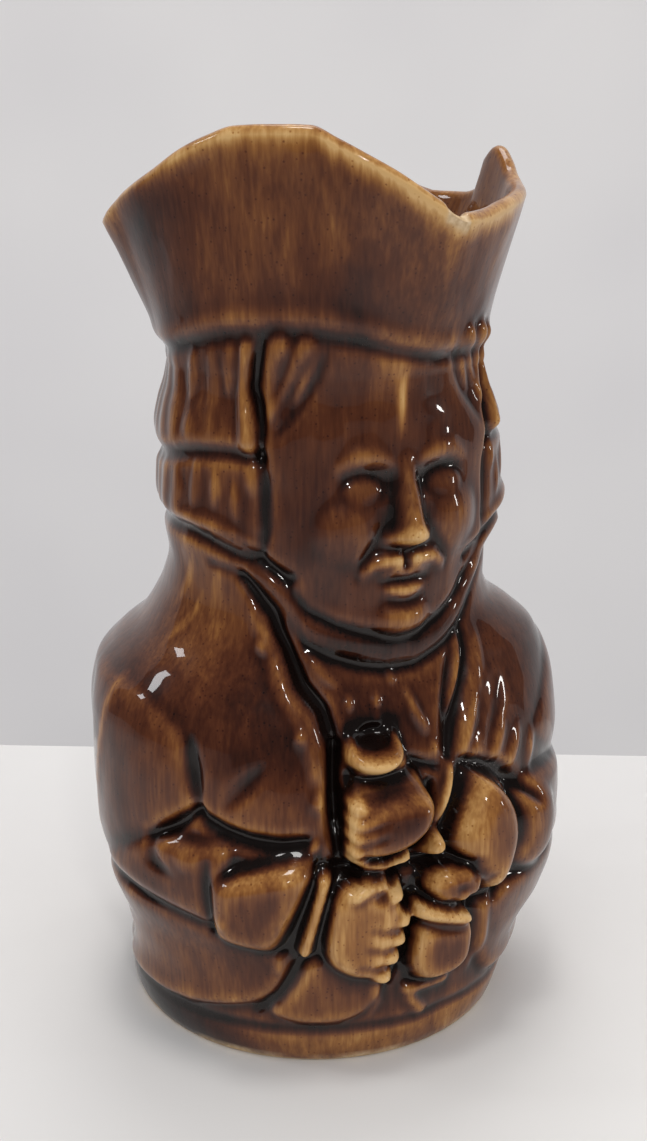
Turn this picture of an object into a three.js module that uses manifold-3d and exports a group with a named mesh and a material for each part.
// Toby jug creamer: one hollow slip-cast piece, a seated figure in relief whose tricorn hat is the pouring
// rim, with a loop handle behind.
// Millimetres, +Z up. The figure faces -Y and the underside rests on z = 0.
// Angles are degrees round the Z axis: 0 is the front, positive towards the figure's left (+X).
import * as THREE from "three";
import { ParametricGeometry } from "three/addons/geometries/ParametricGeometry.js";
import { mergeVertices } from "three/addons/utils/BufferGeometryUtils.js";
import Module from "manifold-3d";

const wasm = await Module();
wasm.setup();

// ---------------------------------------------------------------- driving sizes
const HAT_FOOT = 121; // height at which the hat starts
const FLOOR = 5; // thickness of the bottom
const WALL = 4.4; // wall of the body and the head
const RIM_WALL = 3.0; // wall at the hat's rim
const LIP = RIM_WALL / 2; // radius of the rounded lip
const FLARE_CURVE = 0.05; // 0 is a straight flare of the hat, 1 a parabola

// How finely the faceted solid is cut.
const SECTORS = [
  // from, to and step in degrees: finest over the hands, the lapels and the face, then the peak of the hat
  [-180, -104, 12.6],
  [-104, -58, 5.6],
  [-58, 44, 2.7],
  [44, 72, 5.6],
  [72, 102, 3.75],
  [102, 180, 13],
];
const BODY_ROWS = 29; // rows from the base band to the chin
const HEAD_ROWS = 16; // rows from the chin to the hat
const HAT_ROWS = 4;
const INNER_ROWS = 6;
const SOFTEN = 0.9; // the relief is averaged over twice this, so that none of it is finer than a facet

// Radius of the plain body at each height, along eight directions; the relief is added to it.
const HEIGHTS = [
  0, 3, 8, 14, 21, 28, 36, 44, 52, 60, 66, 70, 74, 78, 82, 87, 92, 97, 103, 109, 114, 118, 121,
];
const FRONT = [
  34.8, 36, 36.9, 37, 36.6, 36, 35.2, 34.2, 32.6, 30.2, 28.4, 27.6, 28.2, 29.4, 29.8, 29.8, 29.8, 29.8, 29.8,
  29.8, 29.6, 29.6, 30,
];
const QUARTER = [
  34.8, 36, 36.9, 37.4, 38.2, 39.2, 39.6, 39.2, 38.2, 36.2, 33.8, 32, 30.6, 30, 30, 30.4, 30.8, 31, 31.2,
  31.2, 30.9, 30.2, 30.2,
];
const LEFT_FLANK = [
  34.8, 36, 37.6, 38, 44.6, 46.8, 46, 46, 46.5, 46.2, 45.2, 43.8, 39.2, 33, 31.2, 31.2, 34.6, 34.8, 34, 34.6,
  32.2, 29.4, 28,
];
const RIGHT_FLANK = [
  34.8, 36, 36.8, 36.4, 37.6, 40.3, 42.4, 43, 43.2, 42.9, 41.6, 38.6, 34.4, 31.6, 30, 29.7, 30.4, 31.1, 30.6,
  30.9, 30.1, 29, 28.8,
];
const REAR_FLANK = [
  34.8, 36, 36.4, 35.2, 36.2, 39, 41, 41.2, 41.6, 42, 40.9, 37.3, 32.3, 29.6, 27.7, 26.5, 27.5, 28.3, 27.9,
  28.4, 27.4, 26.1, 25.6,
];
const REAR = [
  34.8, 36, 36.2, 36.8, 38.4, 39.4, 39.8, 40, 40, 39, 37.2, 35, 31.6, 29.2, 28, 27.6, 27.8, 28.2, 28.4, 28.2,
  27.6, 26.8, 26.6,
];
const DIRECTIONS = [
  [0, FRONT],
  [36, QUARTER],
  [-36, QUARTER],
  [64, LEFT_FLANK],
  [-64, RIGHT_FLANK],
  [116, REAR_FLANK],
  [-116, REAR_FLANK],
  [180, REAR],
];
const DIRECTION_FOCUS = 9; // higher keeps each direction's radius more to itself

// The tricorn rim: low at the spout in front and at a corner each side, rising between them to a broad
// hump on the figure's right, a narrow peak on its left and a hump behind.
const RIM_ANGLE = [
  -180, -160, -148, -134, -120, -107, -101, -95, -83, -74, -64, -56, -47, -39, -32, -27, -20, -13, -6, 0,
  5, 12, 20, 32, 46, 57, 64, 72, 78, 84, 89, 94, 101, 112, 124, 150, 180,
];
const RIM_HEIGHT = [
  155, 153.6, 151.2, 148.2, 145.6, 145.6, 147, 148.8, 151.6, 153.8, 156.7, 158.5, 160, 160.2, 160.2, 160.1,
  158.2, 155.9, 153.4, 150.8, 148.8, 147.1, 147.3, 148.4, 149.4, 150.2, 150.7, 152.2, 154.6, 156.4, 154.8,
  149, 148, 148, 150, 153.4, 155,
];
const RIM_RADIUS = [
  33, 33, 33.2, 33.8, 35.2, 36.4, 36, 35.2, 34.8, 34.6, 34.6, 34.6, 34.8, 34.8, 34.8, 35, 35.8, 37, 38.2,
  39.2, 39.6, 39, 37.6, 36.6, 36.2, 36.2, 36.2, 36.2, 36.4, 36.6, 36.6, 36.4, 36.2, 35.8, 35.4, 34, 33,
];

// The handle: a strap swept from the back of the head down to the small of the back, [y, z].
const HANDLE_PATH = [
  [25.4, 110],
  [34, 114.5],
  [46, 114],
  [56, 104],
  [59.5, 88],
  [57, 70],
  [50, 54],
  [43, 46.5],
  [37.4, 43],
];
const HANDLE_WIDTH = 11;
const HANDLE_DEPTH = 8;
const HANDLE_SIDES = 12;
const HANDLE_STEPS = 16;

// ---------------------------------------------------------------- curves
// Smooth curve through stations that never overshoots them.
function along(x, xs, ys) {
  const last = xs.length - 1;
  const at = Math.min(Math.max(x, xs[0]), xs[last]);
  let i = 0;
  while (i < last - 1 && at >= xs[i + 1]) i++;
  const run = (k) => xs[k + 1] - xs[k];
  const slope = (k) => (ys[k + 1] - ys[k]) / run(k);
  const tangent = (k) => {
    if (k === 0) return slope(0);
    if (k === last) return slope(last - 1);
    if (slope(k - 1) * slope(k) <= 0) return 0;
    const before = 2 * run(k) + run(k - 1);
    const after = run(k) + 2 * run(k - 1);
    return (before + after) / (before / slope(k - 1) + after / slope(k));
  };
  const h = run(i);
  const t = (at - xs[i]) / h;
  const rest = 1 - t;
  return (
    (1 + 2 * t) * rest * rest * ys[i] +
    t * rest * rest * h * tangent(i) +
    t * t * (3 - 2 * t) * ys[i + 1] -
    t * t * rest * h * tangent(i + 1)
  );
}

const rad = THREE.MathUtils.degToRad;
const clamp = THREE.MathUtils.clamp;

// Radius of the plain body: the eight directions weighed by how near they are.
function plainRadius(angle, z) {
  let sum = 0;
  let weight = 0;
  for (const [direction, radii] of DIRECTIONS) {
    const w = Math.exp(DIRECTION_FOCUS * (Math.cos(rad(angle - direction)) - 1));
    sum += w * along(z, HEIGHTS, radii);
    weight += w;
  }
  return sum / weight;
}

// ---------------------------------------------------------------- relief
// The relief is drawn on the unrolled surface: x in mm round the body, y the height.
const mmPerDegree = (z) => along(z, [0, 60, 80, 160], [0.66, 0.64, 0.54, 0.54]);
const flat = ([angle, z]) => new THREE.Vector2(angle * mmPerDegree(z), z);

// Larger of two heights with a fillet of size k where they meet.
const blendMax = (a, b, k) => Math.max(a, b) + Math.max(k - Math.abs(a - b), 0) ** 2 / (4 * k);
const round = (q) => Math.sqrt(Math.max(1 - q * q, 0));

// Distance from p to a chain of points and how far along the chain, 0 to 1.
function nearest(p, chain) {
  let best = Infinity;
  let where = 0;
  let length = 0;
  for (let i = 0; i + 1 < chain.length; i++) {
    const span = chain[i + 1].clone().sub(chain[i]);
    const size = span.length();
    const t = clamp(p.clone().sub(chain[i]).dot(span) / (size * size + 1e-12), 0, 1);
    const d = p.distanceTo(chain[i].clone().addScaledVector(span, t));
    if (d < best) {
      best = d;
      where = length + t * size;
    }
    length += size;
  }
  return [best, where / (length + 1e-9)];
}

// Whether a point is near enough to a set of points for their feature to matter.
function near(pts, margin) {
  const box = new THREE.Box2().setFromPoints(pts).expandByScalar(margin);
  return (p) => box.containsPoint(p);
}
const AWAY = -3; // height that a form reports away from itself, below any blend

// A raised plate over a convex outline, its edge rounded over `edge` mm.
function pad(blend, corners, rise, edge) {
  const pts = corners.map(flat);
  const close = near(pts, 2);
  const turn = Math.sign(THREE.ShapeUtils.area(pts));
  const height = (p) => {
    if (!close(p)) return AWAY;
    let sum = 0;
    pts.forEach((a, i) => {
      const b = pts[(i + 1) % pts.length];
      const side = b.clone().sub(a).normalize();
      const d = turn * (side.x * (p.y - a.y) - side.y * (p.x - a.x));
      sum += Math.exp(-1.2 * clamp(d, -40, 40));
    });
    const inside = -Math.log(sum) / 1.2;
    return inside > 0 ? rise * round(1 - clamp(inside / edge, 0, 1)) : 1.5 * inside;
  };
  return { blend, height };
}

// A raised half-round roll along a chain of points.
function roll(blend, chain, halfWidth, rise) {
  const pts = chain.map(flat);
  const close = near(pts, halfWidth + 2);
  const height = (p) => {
    if (!close(p)) return AWAY;
    const [d] = nearest(p, pts);
    return d < halfWidth ? rise * round(d / halfWidth) : 1.5 * (halfWidth - d);
  };
  return { blend, height };
}

// A half egg: radii [across, up], turned by `tilt` degrees.
function egg(blend, centre, radii, rise, tilt = 0) {
  const c = flat(centre);
  const close = near([c], Math.max(...radii) + 2);
  const height = (p) => {
    if (!close(p)) return AWAY;
    const v = p.clone().sub(c).rotateAround(new THREE.Vector2(), -rad(tilt));
    const q = Math.hypot(v.x / radii[0], v.y / radii[1]);
    return q < 1 ? rise * round(q) : 1.5 * (1 - q) * Math.min(...radii);
  };
  return { blend, height };
}

// A soft line added to the relief: positive is a ridge, negative a groove.
function line(chain, halfWidth, rise, taper = 0, power = 1) {
  const pts = chain.map(flat);
  const close = near(pts, halfWidth);
  return (p) => {
    if (!close(p)) return 0;
    const [d, t] = nearest(p, pts);
    const keep = 1 - taper * (2 * t - 1) ** 2;
    const q = clamp(d / (halfWidth * keep), 0, 1);
    return rise * keep * (1 - q * q) ** power;
  };
}

// A soft spot added to the relief.
function spot(centre, radii, rise, power = 2) {
  const c = flat(centre);
  return (p) => {
    const q = clamp(Math.hypot((p.x - c.x) / radii[0], (p.y - c.y) / radii[1]), 0, 1);
    return rise * (1 - q * q) ** power;
  };
}

// A soft ring all round at one height.
function ring(z, halfWidth, rise) {
  return (p) => {
    const q = clamp(Math.abs(p.y - z) / halfWidth, 0, 1);
    return rise * (1 - q * q) ** 2;
  };
}

// ---------------------------------------------------------------- the figure's large forms
const FORMS = [
  // Coat skirts.
  pad(
    0.5,
    [[-100, 8.5], [-60, 9], [-50, 10.5], [-42, 12], [-35, 16], [-31, 24], [-60, 30], [-100, 30]],
    1.7,
    2.2,
  ),
  pad(0.5, [[-40, 11.5], [-34, 9.4], [-20, 9], [-12, 11], [-7, 17], [-10, 21], [-28, 23.5]], 1.6, 2),
  pad(0.5, [[17, 27], [20, 18], [28, 10], [44, 9], [100, 9], [100, 30], [40, 30]], 1.7, 2.2),
  roll(0.4, [[-1, 14.3], [11, 14.3]], 1.1, 1.7),
  // The figure's right arm: shoulder, forearm, coat cuff, shirt cuff, hand and thumb.
  pad(1.5, [[-104, 36], [-104, 68], [-74, 68], [-58, 62], [-55, 50], [-64, 43], [-80, 33]], 1.6, 7),
  pad(
    1,
    [[-96, 34], [-88, 44], [-66, 44], [-55, 48.5], [-46, 46], [-46, 26.5], [-60, 28.6], [-74, 30.2]],
    2.4,
    4,
  ),
  pad(
    0.5,
    [[-50.5, 26.2], [-50.5, 41.5], [-44, 44.5], [-24, 45.6], [-21.5, 44], [-27, 36], [-31.5, 23.7]],
    4.6,
    2.4,
  ),
  roll(0.4, [[-22.2, 38.5], [-24.6, 31], [-27, 24.8]], 1.3, 4.6),
  pad(
    0.6,
    [[-21, 37.5], [-16, 39], [-8, 38.5], [-2.5, 32], [-4, 24], [-9, 18.6], [-16, 19], [-22.5, 23], [-23.5, 29]],
    5.6,
    4.2,
  ),
  roll(0.5, [[-13, 36], [-9, 37.2], [-5.2, 33.6]], 1.9, 7),
  // The goblet in that hand: cup, heaped top and rim.
  pad(0.5, [[-3, 26], [-3, 19.5], [1, 15.6], [11, 15.6], [14, 19], [16, 26], [15, 29], [0, 29]], 5.2, 2.2),
  egg(0.6, [9.5, 33.2], [6.2, 4.2], 7, -14),
  roll(0.5, [[-1, 30.8], [7, 28.4], [16, 26.4]], 1.7, 6.6),
  // The small jug on the chest.
  pad(0.8, [[-20, 44], [-20, 56], [-16, 61], [4, 61.5], [9, 56], [9, 44]], 5.2, 4),
  egg(0.6, [-6.8, 57.8], [7.6, 4.6], 7.6),
  // The figure's left hand over it, the lower edge of the jug, the frill and the coat cuff.
  pad(
    0.6,
    [[-17.5, 51.8], [-13, 53], [6, 52.8], [10, 50], [9, 45], [2, 42], [-10, 41.6], [-17.5, 44]],
    7.2,
    3.6,
  ),
  roll(0.4, [[-17, 43], [-10, 41], [-2, 42.3]], 1.1, 6),
  roll(0.5, [[14.5, 51], [11, 45], [6.5, 40.5]], 1.5, 6.8),
  pad(
    0.6,
    [[21, 50.5], [28, 50.5], [33, 46], [36, 40], [34, 33], [28, 29.3], [20.5, 29], [14, 35], [10.5, 40.5]],
    6.2,
    4.2,
  ),
  // The figure's left arm.
  pad(1, [[96, 34], [88, 44], [66, 46], [40, 48], [34, 44], [34, 34], [60, 28], [80, 30]], 2.4, 4),
  pad(1.5, [[104, 36], [104, 68], [74, 68], [58, 62], [44, 52], [64, 43], [80, 33]], 1.6, 7),
];

// Swellings where the handle springs from the back of the head and of the coat.
for (const side of [-180, 180]) {
  FORMS.push(egg(2, [side, 110], [9, 8], 2.6));
  FORMS.push(egg(2, [side, 44], [9, 8], 2.6));
}

// Four fingertips down the edge of each hand: [angle, height] of the top one and the step to the next.
for (let i = 0; i < 4; i++) {
  FORMS.push(egg(0.4, [-4.4 - 1.7 * i - 0.3 * i * i, 29 - 3.1 * i], [2.4, 1.6], 6.2));
  FORMS.push(egg(0.4, [-14.6 - 0.66 * i, 51.8 - 2.46 * i], [2.1, 1.45], 7.3));
}

// ---------------------------------------------------------------- ridges and grooves
const FACE = 4; // angle of the face's midline
const CLOTH = [
  [-62, 92.6], [-50, 91.6], [-41, 88], [-34.5, 83.6], [-28.5, 79.4], [-20, 77.2], [-10, 75.3], [0, 74],
  [10, 74.1], [20, 76.2], [30, 79.6], [38, 83.6], [48, 88], [60, 91.6],
];
const shifted = (chain, dz) => chain.map(([a, z]) => [a, z + dz]);

const LINES = [
  ring(7.6, 1.3, -0.8), // base band
  ring(120.4, 1.3, -0.5), // under the hat
  ring(123, 2.6, 0.5), // the hat's lower edge
  // Creases of the right sleeve and of the skirts.
  line([[-58, 62], [-56, 55], [-55, 49.5]], 1.6, -1.3, 0.6),
  line([[-67, 43], [-61, 46], [-55, 49.5]], 1.5, -2, 0.4),
  line([[-55, 49.5], [-50, 47.5], [-46, 45.6], [-28, 45], [-24, 43]], 1.8, -2.4, 0.3),
  line([[-67, 43], [-66, 39], [-60, 37]], 1.8, -0.9, 0.7),
  line([[-28, 23.6], [-31, 19], [-36, 14], [-42, 11]], 1.2, -1, 0.2),
  // Between the right hand and the goblet, and beyond the goblet.
  line([[-2.2, 33], [-1.8, 30], [-2, 25], [-3.5, 20], [-6, 16.5]], 1.2, -1.4, 0.3),
  line([[19.5, 35], [18.5, 30], [16.8, 26], [15.6, 20], [13.5, 15]], 1.1, -1.3, 0.3),
  // The small jug: mouth, neck and the deep line round the hand that holds it.
  spot([-8, 60.2], [5.2, 2.5], -7, 1.2),
  line([[-18, 53.8], [-8, 53.4], [2, 53.6], [12, 52.5]], 1.3, -2.6, 0.3),
  line(
    [[-20.5, 61], [-21.5, 52], [-20.5, 46], [-18.5, 42.2], [-10, 39.8], [-1, 41], [5, 43.5], [9, 48]],
    1.3,
    -2.6,
    0.1,
  ),
  // Left cuff and sleeve folds.
  line([[17.5, 50.5], [13.5, 45], [9, 40]], 1, -2.2, 0.3),
  line([[19, 54], [30, 50.8], [36, 47.5], [41, 43]], 1.7, -2.2, 0.4),
  line([[37.5, 43], [37, 37], [35, 32], [29, 28.2], [21, 27.8]], 1.3, -1.6, 0.3),
  line([[-28, 40.6], [-20, 39.9], [-10, 39.2], [0, 38.6], [8, 37.6], [18, 36.6]], 1.6, -2.6, 0.5),
  // Coat front: dark opening, its edge, and the lapel on the other side.
  line(
    [[-50, 88], [-45, 85], [-40, 82], [-35, 76], [-30, 70], [-24, 66], [-21.5, 61], [-21, 54], [-20.5, 47]],
    1.7,
    -2,
    0.3,
  ),
  line([[-46, 82], [-39, 75.5], [-34, 69], [-28.5, 63.5], [-26, 56]], 2.1, 1.2, 0.5),
  line([[29, 73], [25, 67], [20, 61], [17.5, 56]], 1.2, 1, 0.4),
  line([[38.5, 72], [33, 66], [27, 60.5], [21.5, 54]], 1.3, 0.9, 0.4),
  line([[33.5, 73], [29, 66], [23.3, 60], [19, 55]], 1.2, -1.2, 0.4),
  // Neckcloth with a groove above and below it.
  line(CLOTH, 2.2, 0.9, 0.3, 0.8),
  line(shifted(CLOTH, 2.5), 1, -1, 0.4),
  line(shifted(CLOTH, -2.6), 1.3, -1.2, 0.4),
  // Bridge, back and tip of the nose, mouth and chin.
  line([[FACE, 108.5], [FACE, 105], [FACE, 101.5]], 2.6, 2.4, 0.35, 1.2),
  line([[FACE, 104.5], [FACE, 100], [FACE, 96.2]], 3.1, 3.3, 0.3, 1.1),
  spot([FACE, 95.6], [3.5, 3.2], 3, 1.2),
  line([[FACE - 9.5, 88.3], [FACE, 88.5], [FACE + 9.5, 88.3]], 1.3, 0.9, 0.6),
  line([[FACE - 8, 85.6], [FACE, 85.1], [FACE + 8, 85.6]], 1.5, 1.5, 0.6),
  spot([FACE, 79.8], [6.2, 3.8], 2, 1.5),
];

// Coat buttons.
for (const at of [[-43, 76.4], [-30, 62.4], [-25, 51.2], [-26.5, 43.8], [-47, 31], [-35, 21.6]]) {
  LINES.push(spot(at, [1.5, 1.7], 1));
}
// Pleats of the left sleeve.
for (let i = 0; i < 4; i++) {
  LINES.push(line([[27 + 7 * i, 55.5], [31 + 7 * i, 51.5 - 1.2 * i]], 1.6, 0.9, 0.6));
}

// Both sides of the head: hair and the paired features of the face.
for (const s of [-1, 1]) {
  const hair = (points) => points.map(([a, z]) => [s * a, z]);
  const face = (points) => points.map(([a, z]) => [FACE + s * a, z]);
  LINES.push(line(hair([[42, 121], [42, 112], [42.5, 104], [42, 96], [44, 91]]), 1.9, -2, 0.2));
  LINES.push(line(hair([[42, 108.6], [60, 108.4], [80, 108.8], [105, 108.4]]), 1.5, -1.5, 0.3));
  LINES.push(line(hair([[44, 93.4], [56, 92.2], [70, 93.6], [84, 92.6], [104, 91.5]]), 1.4, -1.2, 0.3));
  LINES.push(line(hair([[48, 122], [50, 118.5], [46.5, 113.5], [47.5, 109.5]]), 1.7, 1.6, 0.4));
  LINES.push(line(hair([[44.5, 122], [42.5, 119.5], [39.5, 117]]), 1.5, 1.5, 0.4));
  LINES.push(line(hair([[33, 122.5], [35.5, 119.5], [38, 117.2]]), 1.2, 1.2, 0.4));
  // Locks in two tiers.
  for (let a = 56; a < 90; a += 6.6) {
    LINES.push(line(hair([[a + 2.5, 121], [a - 1.2, 110]]), 1.8, 0.7, 0.5));
    LINES.push(line(hair([[a, 107], [a + 1, 96.5]]), 2, 0.75, 0.5));
  }
  for (let a = 97; a < 180; a += 14) {
    LINES.push(line(hair([[a + 2.5, 121], [a - 1.2, 110]]), 3.2, 0.7, 0.5));
    LINES.push(line(hair([[a, 107], [a + 1, 96.5]]), 3.2, 0.75, 0.5));
  }
  LINES.push(spot([FACE + s * 14.5, 104.2], [6.6, 4.6], -1.9));
  LINES.push(line(face([[6, 107.6], [14, 109.4], [23, 107.6]]), 1.9, 0.9, 0.5, 1.5));
  LINES.push(spot([FACE + s * 15.5, 103.4], [4.4, 3], 1.9, 1.2));
  LINES.push(spot([FACE + s * 21, 95.5], [6, 6.6], 1.3));
  LINES.push(spot([FACE + s * 5.6, 94.6], [2.3, 2.1], 2.4, 1.2));
  LINES.push(line(face([[2, 91.4], [8, 91], [15.5, 88.2]]), 1.9, 1.5, 0.55));
}

// Height of the relief over the plain body at one point of the unrolled surface.
function reliefAt(p) {
  const forms = FORMS.reduce((h, form) => blendMax(h, form.height(p), form.blend), 0);
  return LINES.reduce((h, add) => h + add(p), forms);
}

// The same, averaged over the width of a facet.
function relief(angle, z) {
  const centre = flat([angle, z]);
  let sum = 0;
  for (const dx of [-1, 0, 1]) {
    for (const dz of [-1, 0, 1]) {
      const share = (2 - Math.abs(dx)) * (2 - Math.abs(dz));
      sum += share * reliefAt(new THREE.Vector2(centre.x + dx * SOFTEN, centre.y + dz * SOFTEN));
    }
  }
  return sum / 16;
}

// ---------------------------------------------------------------- the jug's skin
const rimHeight = (angle) => along(angle, RIM_ANGLE, RIM_HEIGHT);
const rimRadius = (angle) => along(angle, RIM_ANGLE, RIM_RADIUS);

// Radius of the smooth skin at share s of the way up the hat, 0 at its foot and 1 at the lip.
function hatRadius(angle, s) {
  const foot = plainRadius(angle, HAT_FOOT);
  return foot + (rimRadius(angle) - foot) * ((1 - FLARE_CURVE) * s + FLARE_CURVE * s * s);
}

// Heights of the outer rows under the hat.
function rowHeights() {
  const rows = [0, 2.2, 5.6, 7.6];
  for (let i = 0; i < BODY_ROWS; i++) rows.push(THREE.MathUtils.lerp(9.4, 76, i / BODY_ROWS));
  for (let i = 0; i <= HEAD_ROWS; i++) rows.push(THREE.MathUtils.lerp(76, HAT_FOOT, i / HEAD_ROWS));
  return rows;
}

// Every row is a function of the angle that gives [radius, height], from the middle of the underside,
// up the outside, over the lip and down to the middle of the floor inside.
function profile() {
  const rows = [() => [0, 0]];
  for (const z of rowHeights()) {
    rows.push((angle) => [plainRadius(angle, z) + relief(angle, z), z]);
  }
  for (let i = 1; i <= HAT_ROWS; i++) {
    const s = i / HAT_ROWS;
    rows.push((angle) => {
      const z = HAT_FOOT + s * (rimHeight(angle) - LIP - HAT_FOOT);
      return [hatRadius(angle, s) + relief(angle, z), z];
    });
  }
  for (const turn of [60, 120, 180]) {
    rows.push((angle) => [
      rimRadius(angle) - LIP + LIP * Math.cos(rad(turn)),
      rimHeight(angle) - LIP + LIP * Math.sin(rad(turn)),
    ]);
  }
  rows.push((angle) => [hatRadius(angle, 0.5) - RIM_WALL - 0.3, (rimHeight(angle) + HAT_FOOT) / 2]);
  for (let i = 0; i <= INNER_ROWS; i++) {
    const z = THREE.MathUtils.lerp(HAT_FOOT - 1, FLOOR + 4, i / INNER_ROWS);
    rows.push((angle) => [plainRadius(angle, z) - WALL, z]);
  }
  rows.push((angle) => [plainRadius(angle, FLOOR + 1) - WALL - 3, FLOOR]);
  rows.push(() => [0, FLOOR]);
  return rows;
}

// Angles of the columns, closer together over the figure's front.
function columnAngles() {
  const angles = [];
  for (const [from, to, step] of SECTORS) {
    const count = Math.round((to - from) / step);
    for (let i = 0; i < count; i++) angles.push(THREE.MathUtils.lerp(from, to, i / count));
  }
  return [...angles, 180];
}

const rows = profile();
const columns = columnAngles();

function skinPoint(u, v, target) {
  const column = Math.round(u * (columns.length - 1)) % (columns.length - 1);
  const angle = columns[column];
  const [radius, z] = rows[Math.round(v * (rows.length - 1))](angle);
  target.set(radius * Math.sin(rad(angle)), -radius * Math.cos(rad(angle)), z);
}

// ---------------------------------------------------------------- solids
function solidOf(geometry) {
  geometry.deleteAttribute("normal");
  geometry.deleteAttribute("uv");
  const merged = mergeVertices(geometry, 1e-4);
  const mesh = new wasm.Mesh({
    numProp: 3,
    vertProperties: Float32Array.from(merged.attributes.position.array),
    triVerts: Uint32Array.from(merged.index.array),
  });
  const solid = new wasm.Manifold(mesh);
  return solid;
}

function handleGeometry() {
  const path = new THREE.CatmullRomCurve3(HANDLE_PATH.map(([y, z]) => new THREE.Vector3(0, y, z)));
  const section = new THREE.Shape();
  section.absellipse(0, 0, HANDLE_DEPTH / 2, HANDLE_WIDTH / 2, 0, 2 * Math.PI);
  const outline = new THREE.Shape(section.getPoints(HANDLE_SIDES).slice(0, HANDLE_SIDES));
  return new THREE.ExtrudeGeometry(outline, {
    steps: HANDLE_STEPS,
    extrudePath: path,
    bevelEnabled: false,
  });
}

const skin = solidOf(new ParametricGeometry(skinPoint, columns.length - 1, rows.length - 1));
const handle = solidOf(handleGeometry());
const jug = skin.add(handle);

const found = jug.getMesh();
const body = new THREE.BufferGeometry();
body.setAttribute("position", new THREE.BufferAttribute(found.vertProperties, 3));
body.setIndex(new THREE.BufferAttribute(found.triVerts, 1));
body.computeVertexNormals();

const glaze = new THREE.MeshStandardMaterial({ color: 0x5a3016, roughness: 0.18, metalness: 0 });
const tobyJug = new THREE.Mesh(body, glaze);
tobyJug.name = "toby_jug";

const part = new THREE.Group();
part.name = "toby_jug_creamer";
part.add(tobyJug);

export default part;
